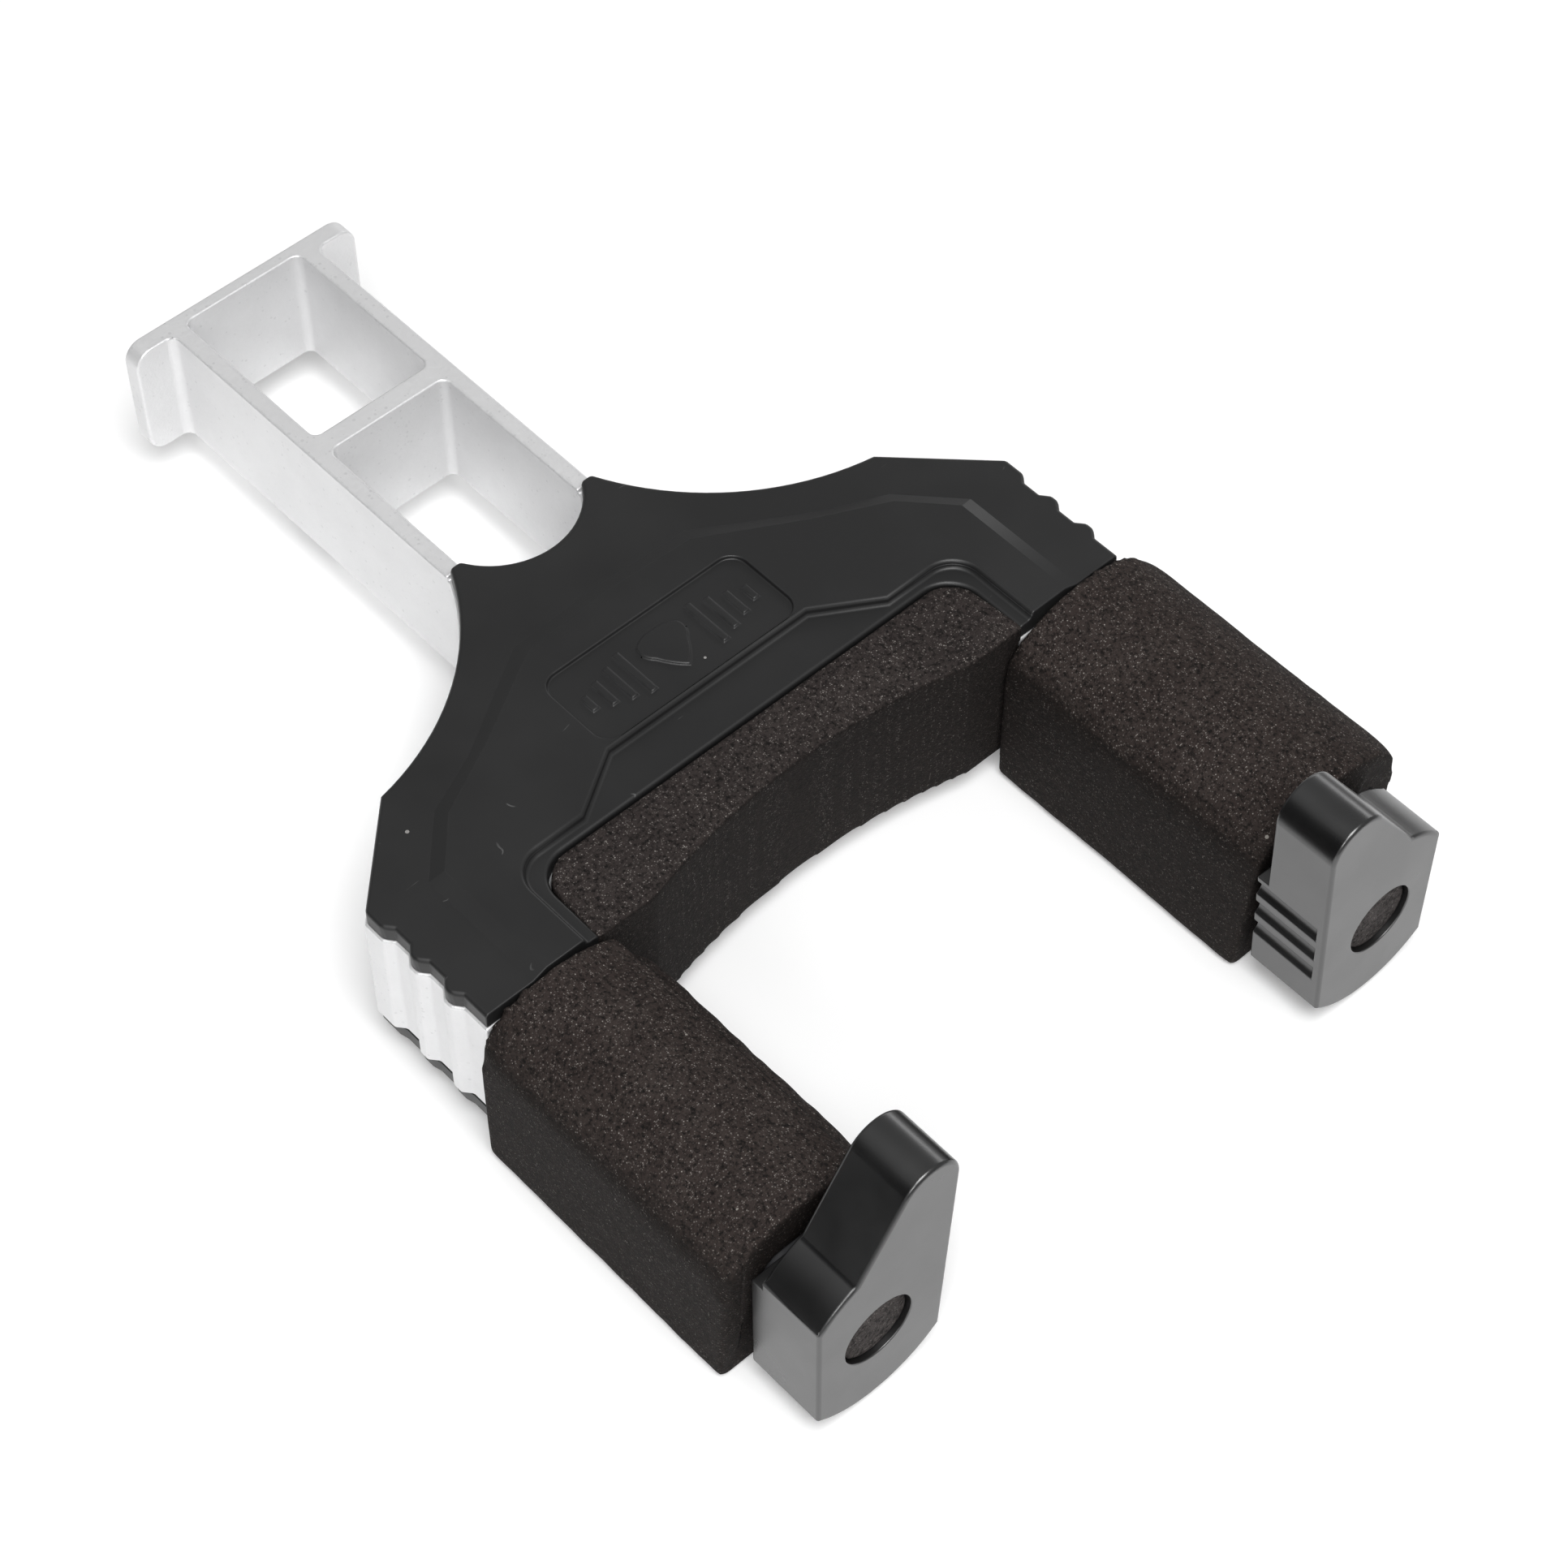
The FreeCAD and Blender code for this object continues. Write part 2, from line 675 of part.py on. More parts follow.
def cap_pieces():
    """The gate cap's section: a round bottom, a flat outer side and the locking finger."""
    bottom_outer = (cap_outer, -math.sqrt(cap_round ** 2 - cap_outer ** 2))
    bottom_inner = (-cap_inner_bottom, -math.sqrt(cap_round ** 2 - cap_inner_bottom ** 2))
    notch = (cap_notch_in, cap_notch_up)
    across, rise = cap_outer - cap_notch_in, cap_notch_up - cap_outer_top
    chord = math.hypot(across, rise)
    shoulder = ((cap_outer + cap_notch_in) / 2.0 + cap_shoulder_bulge * rise / chord,
                (cap_outer_top + cap_notch_up) / 2.0 + cap_shoulder_bulge * across / chord)
    to_tip_u = -finger_tip_in - cap_notch_in
    to_tip_v = finger_tip_up - cap_notch_up
    distance = math.hypot(to_tip_u, to_tip_v)
    lean = math.atan2(to_tip_v, to_tip_u) - math.asin(finger_tip_radius / distance)
    run = math.sqrt(distance ** 2 - finger_tip_radius ** 2)
    tangent = (cap_notch_in + run * math.cos(lean), cap_notch_up + run * math.sin(lean))
    inner_top = (-finger_tip_in - finger_tip_radius, finger_tip_up)
    over = (lean - math.pi / 2.0 + math.pi) / 2.0
    tip = (-finger_tip_in + finger_tip_radius * math.cos(over),
           finger_tip_up + finger_tip_radius * math.sin(over))
    return [
        [bottom_outer, (cap_outer, cap_outer_top)],
        [(cap_outer, cap_outer_top), shoulder, notch],
        [notch, tangent],
        [tangent, tip, inner_top],
        [inner_top, bottom_inner],
        [bottom_inner, (0.0, -cap_round), bottom_outer],
    ]


def grip_grooves():
    """Grooves across the cap's inner side, which stop short of its front face."""
    slope = (cap_inner_bottom - finger_tip_in - finger_tip_radius) / (finger_tip_up + cap_inner_bottom)
    grooves = []
    for index in range(grip_count):
        up = grip_first_up - grip_pitch * index
        side = -cap_inner_bottom + slope * (up + cap_inner_bottom)
        inward = side - grip_radius + grip_depth
        grooves.append(bar_x(grip_radius, cap_rear_x - beyond, cap_front_x - grip_front_land,
                             prong_y + inward, axis_z + up))
    return grooves


def gate_cap():
    body = section_prism(cap_pieces(), cap_rear_x, cap_front_x)
    front_edges = [e for e in body.Edges if e.BoundBox.XMin > cap_front_x - touching]
    body = body.makeFillet(cap_edge_round, front_edges)
    behind_finger = block(cap_rear_x - beyond, cap_rear_x + finger_setback, prong_y - far, prong_y + far,
                          axis_z + finger_base_up, far)
    half_socket = spigot_square / 2.0 + snug_clearance
    socket = rounded_block_x(cap_rear_x - beyond, web_rear_x, half_socket, half_socket,
                             spigot_corner + snug_clearance, prong_y, axis_z)
    hole_radius = nose_radius + nose_clearance
    web_hole = bar_x(hole_radius, web_rear_x - beyond, web_front_x + beyond, prong_y, axis_z)
    counterbore = bar_x(plug_hole_radius, web_front_x, cap_front_x + beyond, prong_y, axis_z)
    return body.cut([behind_finger, socket, web_hole, counterbore] + grip_grooves())


def gate_screw():
    """A pan-head screw with a cross recess, turned into the spindle's end."""
    tip_x = nose_end_x - gate_screw_depth + gate_screw_tip_gap
    shank = bar_x(gate_screw_radius, tip_x, head_rear_x, prong_y, axis_z)
    head = bar_x(gate_screw_head_radius, head_rear_x, head_front_x, prong_y, axis_z)
    long = drive_width / 2.0
    short = gate_drive_slot / 2.0
    deep_x = head_front_x - drive_depth
    out_x = head_front_x + beyond
    slots = [block(deep_x, out_x, prong_y - long, prong_y + long, axis_z - short, axis_z + short),
             block(deep_x, out_x, prong_y - short, prong_y + short, axis_z - long, axis_z + long)]
    return head.fuse(shank).cut(slots)


def screw_washer():
    ring = bar_x(screw_washer_radius, nose_end_x, head_rear_x, prong_y, axis_z)
    hole = gate_screw_radius + screw_washer_play
    return ring.cut(bar_x(hole, nose_end_x - beyond, head_rear_x + beyond, prong_y, axis_z))


def end_plug():
    return bar_x(plug_radius, plug_front_x - plug_thickness, plug_front_x, prong_y, axis_z)


def thrust_washer():
    pin_y, pin_z = stop_pin_place()
    ring = bar_x(washer_radius, front_x, washer_front_x, prong_y, axis_z)
    return ring.cut([
        bar_x(spindle_radius + running_clearance, front_x - beyond, washer_front_x + beyond, prong_y, axis_z),
        bar_x(stop_pin_radius + running_clearance, front_x - beyond, washer_front_x + beyond, pin_y, pin_z),
    ])


def stop_pin():
    pin_y, pin_z = stop_pin_place()
    end_x = core_rear_x + core_flange_thickness - stop_slot_floor - stop_pin_tip_gap
    return bar_x(stop_pin_radius, front_x - stop_pin_seat, end_x, pin_y, pin_z)


def lock_pin():
    """The roll pin that holds the spindle in its seat."""
    lock_x = spindle_rear_x + lock_pin_from_end
    pin = bar_z(lock_pin_radius, core_bottom, lock_pin_top, lock_x, prong_y)
    bore = bar_z(lock_pin_bore, core_bottom - beyond, lock_pin_top + beyond, lock_x, prong_y)
    half_slit = lock_pin_slit / 2.0
    slit = block(lock_x, lock_x + lock_pin_radius + beyond, prong_y - half_slit, prong_y + half_slit,
                 core_bottom - beyond, lock_pin_top + beyond)
    return pin.cut([bore, slit])


def return_spring():
    """The torsion spring in the boss's chamber, wound round the spindle."""
    helix = Part.makeHelix(spring_pitch, spring_pitch * spring_turns, spring_radius)
    start = Part.Wire(Part.makeCircle(spring_wire / 2.0, vec(spring_radius, 0.0, 0.0), vec(0.0, 1.0, 0.0)))
    spring = Part.Wire(helix).makePipeShell([start], True, True)
    spring.rotate(vec(0.0, 0.0, 0.0), vec(0.0, 1.0, 0.0), 90.0)
    rear = chamber_rear_x + spring_end_gap + spring_wire / 2.0
    spring.translate(vec(rear, prong_y, axis_z))
    return spring


def save(node, shape):
    if not shape.isValid():
        print("not valid:", node)
    print("%-22s solids %d  volume %.1f" % (node, len(shape.Solids), shape.Volume))
    shape.exportStep(os.path.join("parts", node + ".step"))


def main():
    os.makedirs("parts", exist_ok=True)
    save("yoke_casting", yoke_casting())
    save("top_cover", top_cover())
    save("bottom_cover", bottom_cover())
    save("cover_screws", cover_screws())
    save("throat_pad", throat_pad())
    makers = {
        "spindle": spindle, "lock_pin": lock_pin, "return_spring": return_spring,
        "stop_pin": stop_pin, "thrust_washer": thrust_washer, "sleeve_core": sleeve_core,
        "foam_sleeve": foam_sleeve, "gate_cap": gate_cap, "screw_washer": screw_washer,
        "gate_screw": gate_screw, "end_plug": end_plug,
    }
    for name, maker in makers.items():
        right, left = both_sides(maker())
        save("right_" + name, right)
        save("left_" + name, left)


main()
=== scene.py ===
"""Wall guitar hanger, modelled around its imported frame. Lengths are in metres."""
import json
import math

import bmesh
import bpy
from mathutils import Matrix, Vector, noise


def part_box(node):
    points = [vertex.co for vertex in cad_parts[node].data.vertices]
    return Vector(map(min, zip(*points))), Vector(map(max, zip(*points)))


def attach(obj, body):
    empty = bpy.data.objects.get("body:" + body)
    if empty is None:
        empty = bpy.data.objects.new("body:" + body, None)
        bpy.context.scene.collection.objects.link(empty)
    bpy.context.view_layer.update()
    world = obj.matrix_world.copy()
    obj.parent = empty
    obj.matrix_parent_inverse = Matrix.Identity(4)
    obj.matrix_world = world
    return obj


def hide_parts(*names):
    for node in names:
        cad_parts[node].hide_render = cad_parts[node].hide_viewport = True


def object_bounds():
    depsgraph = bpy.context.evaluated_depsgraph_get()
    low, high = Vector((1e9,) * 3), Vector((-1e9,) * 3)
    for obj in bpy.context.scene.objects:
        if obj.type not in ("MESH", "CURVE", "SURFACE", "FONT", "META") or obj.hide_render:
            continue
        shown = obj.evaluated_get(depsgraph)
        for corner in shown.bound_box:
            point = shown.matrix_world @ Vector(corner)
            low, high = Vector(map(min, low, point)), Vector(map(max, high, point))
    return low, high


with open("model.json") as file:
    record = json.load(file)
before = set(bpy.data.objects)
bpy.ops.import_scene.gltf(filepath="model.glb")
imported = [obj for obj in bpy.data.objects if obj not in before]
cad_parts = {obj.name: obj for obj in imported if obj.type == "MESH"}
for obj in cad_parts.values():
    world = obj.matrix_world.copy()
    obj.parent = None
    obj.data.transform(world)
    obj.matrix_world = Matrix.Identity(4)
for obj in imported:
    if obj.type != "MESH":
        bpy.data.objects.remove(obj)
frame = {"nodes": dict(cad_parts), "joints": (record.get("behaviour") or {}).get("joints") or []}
cad_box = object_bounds()

mm = 0.001
_, prong_y, axis_z = next(joint["pos_m"] for joint in frame["joints"] if joint["child"] == "right_gate")
middle_x = (cad_box[0][0] + cad_box[1][0]) / 2.0

# Edges that turn more than sharp_turn are rounded, and the plateau's gentler slopes are kept crisp
sharp_turn = math.radians(35.0)
least_slope_turn, most_slope_turn = math.radians(12.0), math.radians(30.0)
casting_round = 0.32 * mm

# Covers: the rims lie near the top face and short of the front walls, the emblem behind the pad
cover_round = 0.2 * mm
rim_round = 0.55 * mm
rim_below_top = 2.6 * mm
rim_behind_front = 0.5 * mm
emblem_round = 0.2 * mm
emblem_half = 15.6 * mm
emblem_long = 12.8 * mm
emblem_from_pad = 7.6 * mm
emblem_below_top = 1.0 * mm

# Gate caps: the grip grooves all lie below the height above_grooves
cap_round = 0.45 * mm
groove_round = 0.18 * mm
above_grooves = axis_z + 9.0 * mm

# Foam: the skin's grid, the long swells and short tears in it, and how much calmer its end faces are
foam_voxel = 0.45 * mm
foam_swell, foam_swell_length = 0.14 * mm, 16.0 * mm
foam_tear, foam_tear_length = 0.05 * mm, 2.2 * mm
foam_end_calm = 0.9
foam_seeds = {"left": 11.0, "right": 23.0, "pad": 5.0}
skin_relaxings, shoulder_relaxings = 2, 60

# Sleeve section, from the prong's axis: towards the neck is inner, away from it is outer
core_flange = 9.5 * mm
foam_inner = 10.2 * mm
foam_outer = 13.0 * mm
foam_inner_shoulder = 7.2 * mm
foam_outer_shoulder = 8.0 * mm
foam_shoulder_round = 3.6 * mm

# Sleeve fit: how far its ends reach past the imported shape, and its inner and outer walls' shifts in Y
end_face_depth = 0.1 * mm
foam_rear_reach = 0.1 * mm
foam_front_reach = 1.3 * mm
sleeve_shifts = {"left": (1.4 * mm, 1.3 * mm), "right": (0.2 * mm, 1.4 * mm)}

# The torn lip at a sleeve's rear edge, and the flare at the pad's two ends
foam_lip, foam_lip_length, foam_lip_from = 0.7 * mm, 1.1 * mm, 3.5 * mm
foam_lip_grain, foam_lip_offset = 0.9 * mm, Vector((4.0, 1.0, 7.0))
pad_end_reach, pad_end_length = 0.8 * mm, 3.0 * mm

# Plugs: rim rounding, the rings that carry the crown, and the grain on it
plug_rim_round = 0.25 * mm
plug_rings = (0.55 * mm, 0.5 * mm, 0.5 * mm, 0.5 * mm, 0.5 * mm)
plug_crown = 0.12 * mm
plug_grain, plug_grain_length = 0.04 * mm, 0.8 * mm

# Stage: the floor, and a long lens whose picture is turned a hair off level
floor_half = 210.0 * mm
floor_gap = 0.1 * mm
camera_lens = 87.71
camera_place = Vector((0.30327, -0.18095, 0.35758))
camera_aim = Vector((0.10213, 0.00185, 0.0))
camera_roll = math.radians(-0.207)


# ---------------------------------------------------------------- node trees

class Net:
    """Adds nodes to one tree and joins them up."""

    def __init__(self, tree):
        self.tree = tree

    def plug(self, socket, value):
        """Join another node's output to a socket, or set the socket to a constant."""
        if isinstance(value, bpy.types.NodeSocket):
            self.tree.links.new(value, socket)
        else:
            socket.default_value = value

    def add(self, kind, settings=None, inputs=None):
        node = self.tree.nodes.new("ShaderNode" + kind)
        for key, value in (settings or {}).items():
            setattr(node, key, value)
        for key, value in (inputs or {}).items():
            self.plug(node.inputs[key], value)
        return node

    def math(self, operation, a, b=0.0):
        node = self.add("Math", {"operation": operation}, {0: a, 1: b})
        return node.outputs[0]

    def between(self, value, low, high, to_low=0.0, to_high=1.0):
        """Value taken from low..high to to_low..to_high, and held there."""
        inputs = {"Value": value, "From Min": low, "From Max": high, "To Min": to_low, "To Max": to_high}
        return self.add("MapRange", {"clamp": True}, inputs).outputs["Result"]

    def mix(self, amount, a, b):
        node = self.add("Mix", {"data_type": "RGBA"}, {0: amount, 6: a, 7: b})
        return node.outputs[2]

    def noise(self, vector, scale, detail=2.0, roughness=0.5):
        inputs = {"Vector": vector, "Scale": scale, "Detail": detail, "Roughness": roughness}
        return self.add("TexNoise", None, inputs).outputs["Fac"]

    def bump(self, height, distance, strength, normal=None):
        inputs = {"Height": height, "Distance": distance, "Strength": strength}
        if normal is not None:
            inputs["Normal"] = normal
        return self.add("Bump", None, inputs).outputs["Normal"]

    def use(self, group, inputs):
        node = self.tree.nodes.new("ShaderNodeGroup")
        node.node_tree = group
        for key, value in inputs.items():
            self.plug(node.inputs[key], value)
        return node


def new_group(name, inputs, outputs):
    """An empty shader node group with these sockets, and the net to fill it with."""
    tree = bpy.data.node_groups.new(name, "ShaderNodeTree")
    kinds = {"vector": "NodeSocketVector", "value": "NodeSocketFloat", "colour": "NodeSocketColor"}
    for socket_name, kind in inputs:
        tree.interface.new_socket(name=socket_name, in_out="INPUT", socket_type=kinds[kind])
    for socket_name, kind in outputs:
        tree.interface.new_socket(name=socket_name, in_out="OUTPUT", socket_type=kinds[kind])
    start = tree.nodes.new("NodeGroupInput")
    end = tree.nodes.new("NodeGroupOutput")
    return tree, Net(tree), start.outputs, end.inputs


def grain_group():
    """The fine skin of a moulding or casting: a height, and slow patches in it."""
    inputs = [("Vector", "vector"), ("Scale", "value"), ("Patch Scale", "value")]
    tree, net, given, result = new_group("skin_grain", inputs, [("Height", "value"), ("Patches", "value")])
    fine = net.noise(given["Vector"], given["Scale"], 3.0, 0.6)
    slow = net.noise(given["Vector"], given["Patch Scale"], 3.0, 0.55)
    net.plug(result["Height"], fine)
    net.plug(result["Patches"], net.between(slow, 0.35, 0.65))
    return tree


def edge_group():
    """Where an edge has been rubbed: high on rounded edges, broken up by noise."""
    inputs = [("Vector", "vector"), ("Radius", "value"), ("Breakup Scale", "value")]
    tree, net, given, result = new_group("rubbed_edges", inputs, [("Mask", "value")])
    softened = net.add("Bevel", {"samples": 6}, {"Radius": given["Radius"]}).outputs["Normal"]
    flat = net.add("NewGeometry").outputs["Normal"]
    together = net.add("VectorMath", {"operation": "DOT_PRODUCT"}, {0: softened, 1: flat}).outputs["Value"]
    edge = net.between(together, 0.995, 0.93)
    broken = net.between(net.noise(given["Vector"], given["Breakup Scale"], 4.0, 0.7), 0.38, 0.6)
    net.plug(result["Mask"], net.math("MULTIPLY", edge, broken))
    return tree


def dust_group():
    """Loose bright specks, at random places and of random sizes."""
    inputs = [("Vector", "vector"), ("Scale", "value"), ("Rarity", "value"), ("Size", "value")]
    tree, net, given, result = new_group("dust_specks", inputs, [("Mask", "value")])
    cells = net.add("TexVoronoi", {"feature": "F1"}, {"Vector": given["Vector"], "Scale": given["Scale"],
                                                        "Randomness": 1.0})
    chance = net.add("SeparateColor", None, {"Color": cells.outputs["Color"]})
    chosen = net.math("GREATER_THAN", chance.outputs["Red"], given["Rarity"])
    reach = net.math("MULTIPLY", chance.outputs["Green"], given["Size"])
    inside = net.math("LESS_THAN", cells.outputs["Distance"], reach)
    shade = net.between(chance.outputs["Blue"], 0.0, 1.0, 0.35, 1.0)
    net.plug(result["Mask"], net.math("MULTIPLY", net.math("MULTIPLY", chosen, inside), shade))
    return tree


def scratch_group():
    """Short hairline scratches that curve a little and stop."""
    inputs = [("Vector", "vector"), ("Scale", "value"), ("Width", "value"), ("Rarity", "value")]
    tree, net, given, result = new_group("hairline_scratches", inputs, [("Mask", "value")])
    turned = net.add("Mapping", None, {"Vector": given["Vector"], "Rotation": (0.3, 0.2, 0.9),
                                       "Scale": (1.0, 0.28, 0.6)}).outputs["Vector"]
    wandering = net.noise(turned, given["Scale"], 1.0, 0.4)
    off_line = net.math("ABSOLUTE", net.math("SUBTRACT", wandering, 0.5))
    line = net.math("LESS_THAN", off_line, given["Width"])
    stretch = net.noise(given["Vector"], net.math("MULTIPLY", given["Scale"], 1.7), 2.0, 0.5)
    there = net.between(stretch, given["Rarity"], net.math("ADD", given["Rarity"], 0.05))
    net.plug(result["Mask"], net.math("MULTIPLY", line, there))
    return tree


def foam_group():
    """Cut closed-cell foam: a bump height, painted shade in the pits between cell walls, painted glints on
    raised spots of some cells, and tone that drifts.
    """
    inputs = [("Vector", "vector"), ("Cell Scale", "value"), ("Speck Rarity", "value")]
    outputs = [("Height", "value"), ("Specks", "value"), ("Pits", "value"), ("Tone", "value")]
    tree, net, given, result = new_group("foam_cells", inputs, outputs)
    cells = net.add("TexVoronoi", {"feature": "F1"}, {"Vector": given["Vector"],
                                                        "Scale": given["Cell Scale"], "Randomness": 1.0})
    rough = net.noise(given["Vector"], net.math("MULTIPLY", given["Cell Scale"], 0.4), 4.0, 0.75)
    height = net.math("ADD", net.math("MULTIPLY", cells.outputs["Distance"], 0.5), rough)
    net.plug(result["Height"], height)
    # Painted glints: some cells are marked light on their raised spots
    chance = net.add("SeparateColor", None, {"Color": cells.outputs["Color"]})
    chosen = net.between(chance.outputs["Red"], given["Speck Rarity"], 1.0, 0.0, 1.0)
    inside = net.between(cells.outputs["Distance"], 0.5, 0.1)
    raised = net.between(rough, 0.44, 0.62)
    net.plug(result["Specks"], net.math("MULTIPLY", net.math("MULTIPLY", chosen, inside), raised))
    # Painted shade where the skin dips low between the cell walls
    net.plug(result["Pits"], net.between(rough, 0.52, 0.36))
    slow = net.noise(given["Vector"], net.math("MULTIPLY", given["Cell Scale"], 0.05), 3.0, 0.6)
    net.plug(result["Tone"], net.between(slow, 0.3, 0.7))
    return tree


skin_grain = grain_group()
rubbed_edges = edge_group()
dust_specks = dust_group()
hairline_scratches = scratch_group()
foam_cells = foam_group()


# ----------------------------------------------------------------- materials

def start_material(name):
    """A new material with its net, its shader's inputs and the place on the piece."""
    material = bpy.data.materials.new(name)
    material.use_nodes = True
    net = Net(material.node_tree)
    shader = material.node_tree.nodes["Principled BSDF"].inputs
    place = net.add("TexCoord").outputs["Object"]
    return material, net, shader, place


def cast_aluminium():
    """Bead-blasted die casting: pale, rough, with a fine glitter and bright rubbed edges."""
    material, net, shader, place = start_material("cast_aluminium")
    grain = net.use(skin_grain, {"Vector": place, "Scale": 2600.0, "Patch Scale": 140.0}).outputs
    edges = net.use(rubbed_edges, {"Vector": place, "Radius": 0.6 * mm, "Breakup Scale": 1500.0}).outputs
    pits = net.use(dust_specks, {"Vector": place, "Scale": 1900.0, "Rarity": 0.8, "Size": 0.45}).outputs
    dull, clean = (0.755, 0.755, 0.76, 1.0), (0.785, 0.785, 0.79, 1.0)
    pit_grey, rubbed = (0.35, 0.35, 0.355, 1.0), (0.93, 0.93, 0.94, 1.0)
    skin = net.mix(grain["Patches"], dull, clean)
    pitted = net.mix(net.math("MULTIPLY", pits["Mask"], 0.22), skin, pit_grey)
    net.plug(shader["Base Color"], net.mix(edges["Mask"], pitted, rubbed))
    rough = net.between(grain["Height"], 0.3, 0.7, 0.44, 0.58)
    net.plug(shader["Roughness"], net.math("SUBTRACT", rough, net.math("MULTIPLY", edges["Mask"], 0.26)))
    net.plug(shader["Metallic"], net.between(edges["Mask"], 0.0, 1.0, 0.5, 0.95))
    fine = net.bump(grain["Height"], 0.05 * mm, 0.5)
    lumps = net.noise(place, 1500.0, 2.0, 0.6)
    net.plug(shader["Normal"], net.bump(lumps, 0.1 * mm, 0.45, fine))
    return material


def moulded_cover():
    """Matte black moulded cover, lightly handled: dust, hairlines and a faint bloom."""
    material, net, shader, place = start_material("matte_black_moulding")
    grain = net.use(skin_grain, {"Vector": place, "Scale": 3800.0, "Patch Scale": 55.0}).outputs
    dust = net.use(dust_specks, {"Vector": place, "Scale": 260.0, "Rarity": 0.9, "Size": 0.09}).outputs
    scratches = net.use(hairline_scratches, {"Vector": place, "Scale": 160.0, "Width": 0.0022,
                                             "Rarity": 0.66}).outputs
    edges = net.use(rubbed_edges, {"Vector": place, "Radius": 0.35 * mm, "Breakup Scale": 500.0}).outputs
    deep, bloomed = (0.0115, 0.0115, 0.0117, 1.0), (0.0145, 0.0145, 0.0146, 1.0)
    rubbed, scratch_grey = (0.045, 0.045, 0.046, 1.0), (0.12, 0.12, 0.12, 1.0)
    dust_grey = (0.3, 0.29, 0.28, 1.0)
    black = net.mix(grain["Patches"], deep, bloomed)
    worn = net.mix(net.math("MULTIPLY", edges["Mask"], 0.5), black, rubbed)
    scratched = net.mix(net.math("MULTIPLY", scratches["Mask"], 0.55), worn, scratch_grey)
    net.plug(shader["Base Color"], net.mix(dust["Mask"], scratched, dust_grey))
    net.plug(shader["Roughness"], net.between(grain["Patches"], 0.0, 1.0, 0.4, 0.46))
    shader["IOR"].default_value = 1.48
    net.plug(shader["Normal"], net.bump(grain["Height"], 0.02 * mm, 0.35))
    return material


def satin_cap():
    """Satin black gate cap: smoother than the cover, so that it takes the floor's light."""
    material, net, shader, place = start_material("satin_black_moulding")
    grain = net.use(skin_grain, {"Vector": place, "Scale": 4200.0, "Patch Scale": 90.0}).outputs
    dust = net.use(dust_specks, {"Vector": place, "Scale": 420.0, "Rarity": 0.93, "Size": 0.1}).outputs
    edges = net.use(rubbed_edges, {"Vector": place, "Radius": 0.4 * mm, "Breakup Scale": 900.0}).outputs
    deep, bloomed = (0.004, 0.004, 0.0042, 1.0), (0.0055, 0.0055, 0.0057, 1.0)
    rubbed, dust_grey = (0.05, 0.05, 0.05, 1.0), (0.25, 0.25, 0.25, 1.0)
    black = net.mix(grain["Patches"], deep, bloomed)
    worn = net.mix(net.math("MULTIPLY", edges["Mask"], 0.3), black, rubbed)
    net.plug(shader["Base Color"], net.mix(dust["Mask"], worn, dust_grey))
    net.plug(shader["Roughness"], net.between(grain["Patches"], 0.0, 1.0, 0.27, 0.34))
    shader["IOR"].default_value = 1.9
    net.plug(shader["Normal"], net.bump(grain["Height"], 0.012 * mm, 0.3))
    return material


def cut_foam(name, dark, light, cell_scale, rarity, side_shade):
    """Dark closed-cell foam with painted light: painted glints, fewer on its upright sides, painted shade in
    its pits, and painted shade darkening its upright sides.
    """
    material, net, shader, place = start_material(name)
    foam = net.use(foam_cells, {"Vector": place, "Cell Scale": cell_scale, "Speck Rarity": rarity}).outputs
    lint = net.use(dust_specks, {"Vector": place, "Scale": 300.0, "Rarity": 0.93, "Size": 0.1}).outputs
    facing = net.add("SeparateXYZ", None, {"Vector": net.add("TexCoord").outputs["Normal"]}).outputs["Z"]
    upright = net.between(net.math("ABSOLUTE", facing), 0.85, 0.35)
    painted_side_brown, painted_pit_brown = (0.005, 0.0034, 0.0026, 1.0), (0.006, 0.005, 0.0045, 1.0)
    painted_glint_grey, lint_grey = (0.42, 0.39, 0.36, 1.0), (0.35, 0.33, 0.3, 1.0)
    cut = net.mix(foam["Tone"], dark, light)
    # Painted shade: the upright sides are darkened towards a deep brown, the flat cut tops are not
    body = net.mix(net.math("MULTIPLY", upright, side_shade), cut, painted_side_brown)
    # Painted shade in the pits between the cell walls
    pitted = net.mix(foam["Pits"], body, painted_pit_brown)
    # Painted glints: light grey on the marked cells, fewer on the upright sides
    lit = net.math("MULTIPLY", foam["Specks"], net.between(upright, 0.0, 1.0, 1.0, 0.45))
    sparkling = net.mix(lit, pitted, painted_glint_grey)
    net.plug(shader["Base Color"], net.mix(lint["Mask"], sparkling, lint_grey))
    net.plug(shader["Roughness"], net.between(foam["Specks"], 0.0, 1.0, 0.8, 0.4))
    shader["Specular IOR Level"].default_value = 0.14
    net.plug(shader["Normal"], net.bump(foam["Height"], 0.2 * mm, 0.85))
    return material


def machined_steel(name, colour, roughness, turning_scale):
    """Turned or drawn steel: fine rings round the piece and a few darker patches."""
    material, net, shader, place = start_material(name)
    grain = net.use(skin_grain, {"Vector": place, "Scale": turning_scale, "Patch Scale": 300.0}).outputs
    edges = net.use(rubbed_edges, {"Vector": place, "Radius": 0.15 * mm, "Breakup Scale": 2500.0}).outputs
    dull = tuple(0.72 * c for c in colour[:3]) + (1.0,)
    skin = net.mix(grain["Patches"], colour, dull)
    bright = tuple(min(1.0, 1.35 * c + 0.08) for c in colour[:3]) + (1.0,)
    net.plug(shader["Base Color"], net.mix(edges["Mask"], skin, bright))
    net.plug(shader["Roughness"], net.between(grain["Height"], 0.3, 0.7, roughness, roughness + 0.12))
    shader["Metallic"].default_value = 1.0
    net.plug(shader["Normal"], net.bump(grain["Height"], 0.01 * mm, 0.3))
    return material


